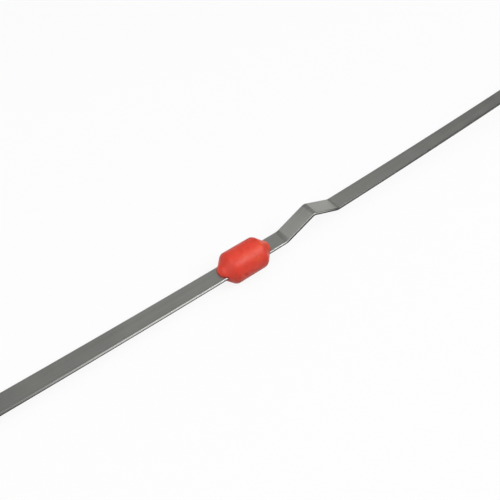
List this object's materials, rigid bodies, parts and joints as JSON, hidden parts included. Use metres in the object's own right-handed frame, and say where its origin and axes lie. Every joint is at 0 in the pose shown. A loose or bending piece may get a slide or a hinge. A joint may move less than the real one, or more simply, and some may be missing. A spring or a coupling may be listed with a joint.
{
  "type": "engine oil dipstick",
  "caption": "Engine oil dipstick: a kinked flat steel strip with a moulded guide bead, two level-mark holes, and a finger-ring handle with a sealed plug.",
  "frame": {"origin": "middle of the handle's seat face, where the strip leaves it towards the tube", "axes": "+X along the plug and the straight strip, from the handle into the tube; +Z square to the strip's wide face, on the side that the kink rises to; +Y across the strip"},
  "size_m": [0.4253, 0.036, 0.0261],
  "materials": {
    "spring_steel": "cold-rolled, satin grey, with fine lengthwise rolling lines",
    "orange_red_plastic": "moulded, satin",
    "seal_rubber": "matt black"
  },
  "bodies": {
    "root": {"blade": "spring_steel", "guide_bead": "orange_red_plastic", "handle": "orange_red_plastic", "plug_seal": "seal_rubber"}
  },
  "joints": []
}
